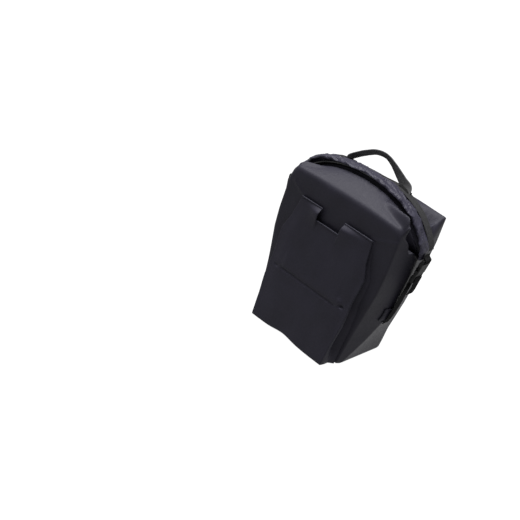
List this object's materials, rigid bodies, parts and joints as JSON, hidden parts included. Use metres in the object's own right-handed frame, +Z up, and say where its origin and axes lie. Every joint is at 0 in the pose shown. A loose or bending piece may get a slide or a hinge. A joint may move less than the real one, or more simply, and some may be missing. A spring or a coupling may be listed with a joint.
{
  "type": "roll-top bicycle pannier bag",
  "caption": "Faceted roll-top bicycle pannier with a front pocket, side buckles, a carry handle, and a rail with latching hooks on its back for a rear rack.",
  "frame": {"origin": "on the resting surface, at the middle of the whole part's footprint", "axes": "+Z up, -Y towards the bag's front with the pocket, +Y towards the rack, +X to the right seen from the front"},
  "size_m": [0.4074, 0.232, 0.461],
  "materials": {
    "tarpaulin": "matt coated fabric, charcoal with a slight violet tint and a soft sheen",
    "webbing": "flat woven polyester webbing, black",
    "board": "stiff polyethylene sheet",
    "nylon": "moulded nylon, fine matt grain",
    "aluminium": "anodised extrusion, brushed along its length",
    "steel": "bright plated steel",
    "rubber": "soft moulded rubber"
  },
  "bodies": {
    "bag": {"front_panel": "tarpaulin", "right_gusset": "tarpaulin", "left_gusset": "tarpaulin", "back_panel": "tarpaulin", "base_tray": "tarpaulin", "back_board": "board", "pocket_panel": "tarpaulin", "right_pocket_wall": "tarpaulin", "left_pocket_wall": "tarpaulin", "pocket_floor": "tarpaulin", "front_collar": "tarpaulin", "back_collar": "tarpaulin", "roll_closure": "tarpaulin", "roll_stiffener": "board", "closure_band": "webbing", "right_handle_tab": "webbing", "left_handle_tab": "webbing", "right_buckle_socket": "nylon", "left_buckle_socket": "nylon", "right_side_strap": "webbing", "left_side_strap": "webbing", "right_roll_tab": "webbing", "left_roll_tab": "webbing", "right_strap_anchor": "tarpaulin", "left_strap_anchor": "tarpaulin", "top_rail": "aluminium", "left_rail_cap": "nylon", "right_rail_cap": "nylon", "lower_rail": "aluminium", "rail_screw_1": "steel", "rail_screw_2": "steel", "rail_screw_3": "steel", "rail_screw_4": "steel", "lower_rail_screw_1": "steel", "lower_rail_screw_2": "steel"},
    "handle": {"carry_handle": "webbing"},
    "right_plug": {"right_buckle_plug": "nylon"},
    "right_front_arm": {"right_buckle_front_arm": "nylon"},
    "right_rear_arm": {"right_buckle_rear_arm": "nylon"},
    "left_plug": {"left_buckle_plug": "nylon"},
    "left_front_arm": {"left_buckle_front_arm": "nylon"},
    "left_rear_arm": {"left_buckle_rear_arm": "nylon"},
    "right_hook_slider": {"right_hook": "nylon", "right_hook_insert": "rubber", "right_latch_pin": "steel", "right_latch_spring": "steel"},
    "right_hook_latch": {"right_latch": "nylon"},
    "left_hook_slider": {"left_hook": "nylon", "left_hook_insert": "rubber", "left_latch_pin": "steel", "left_latch_spring": "steel"},
    "left_hook_latch": {"left_latch": "nylon"},
    "lower_hook_slider": {"lower_slider": "nylon", "lower_hook_screw": "steel"},
    "lower_hook_arm": {"lower_hook": "nylon"}
  },
  "joints": [
    {"name": "handle_swing", "type": "hinge", "parent": "bag", "child": "handle", "pos_m": [0, 0.025, 0.411], "axis": [1, 0, 0], "range_deg": [-20, 25]},
    {"name": "right_buckle_release", "type": "slide", "parent": "bag", "child": "right_plug", "axis": [-0.1323, 0, -0.9912], "range_m": [0, 0.03], "deforming": ["right_side_strap"]},
    {"name": "right_front_squeeze", "type": "hinge", "parent": "right_plug", "child": "right_front_arm", "pos_m": [0.19304, -0.0105, 0.2803], "axis": [0.9912, 0, -0.1323], "range_deg": [-7, 0], "stiffness_Nm_per_rad": 0.4},
    {"name": "right_rear_squeeze", "type": "hinge", "parent": "right_plug", "child": "right_rear_arm", "pos_m": [0.19304, 0.0105, 0.2803], "axis": [0.9912, 0, -0.1323], "range_deg": [0, 7], "stiffness_Nm_per_rad": 0.4},
    {"name": "left_buckle_release", "type": "slide", "parent": "bag", "child": "left_plug", "axis": [0.1323, 0, -0.9912], "range_m": [0, 0.03], "deforming": ["left_side_strap"]},
    {"name": "left_front_squeeze", "type": "hinge", "parent": "left_plug", "child": "left_front_arm", "pos_m": [-0.19304, -0.0105, 0.2803], "axis": [0.9912, 0, 0.1323], "range_deg": [-7, 0], "stiffness_Nm_per_rad": 0.4},
    {"name": "left_rear_squeeze", "type": "hinge", "parent": "left_plug", "child": "left_rear_arm", "pos_m": [-0.19304, 0.0105, 0.2803], "axis": [0.9912, 0, 0.1323], "range_deg": [0, 7], "stiffness_Nm_per_rad": 0.4},
    {"name": "right_hook_slide", "type": "slide", "parent": "bag", "child": "right_hook_slider", "axis": [1, 0, 0], "range_m": [-0.04, 0.04]},
    {"name": "right_latch_turn", "type": "hinge", "parent": "right_hook_slider", "child": "right_hook_latch", "pos_m": [0.072, 0.0915, 0.32], "axis": [1, 0, 0], "range_deg": [0, 40], "stiffness_Nm_per_rad": 0.05, "springref_deg": -11.46},
    {"name": "left_hook_slide", "type": "slide", "parent": "bag", "child": "left_hook_slider", "axis": [1, 0, 0], "range_m": [-0.04, 0.04]},
    {"name": "left_latch_turn", "type": "hinge", "parent": "left_hook_slider", "child": "left_hook_latch", "pos_m": [-0.072, 0.0915, 0.32], "axis": [1, 0, 0], "range_deg": [0, 40], "stiffness_Nm_per_rad": 0.05, "springref_deg": -11.46},
    {"name": "lower_hook_slide", "type": "slide", "parent": "bag", "child": "lower_hook_slider", "axis": [1, 0, 0], "range_m": [-0.075, 0.04]},
    {"name": "lower_hook_swivel", "type": "hinge", "parent": "lower_hook_slider", "child": "lower_hook_arm", "pos_m": [0.02, 0.0935, 0.106], "axis": [0, 1, 0], "range_deg": [-90, 90]}
  ],
  "couplings": [
    {"joint": "right_rear_squeeze", "follows": "right_front_squeeze", "ratio": -1},
    {"joint": "left_rear_squeeze", "follows": "left_front_squeeze", "ratio": -1}
  ]
}
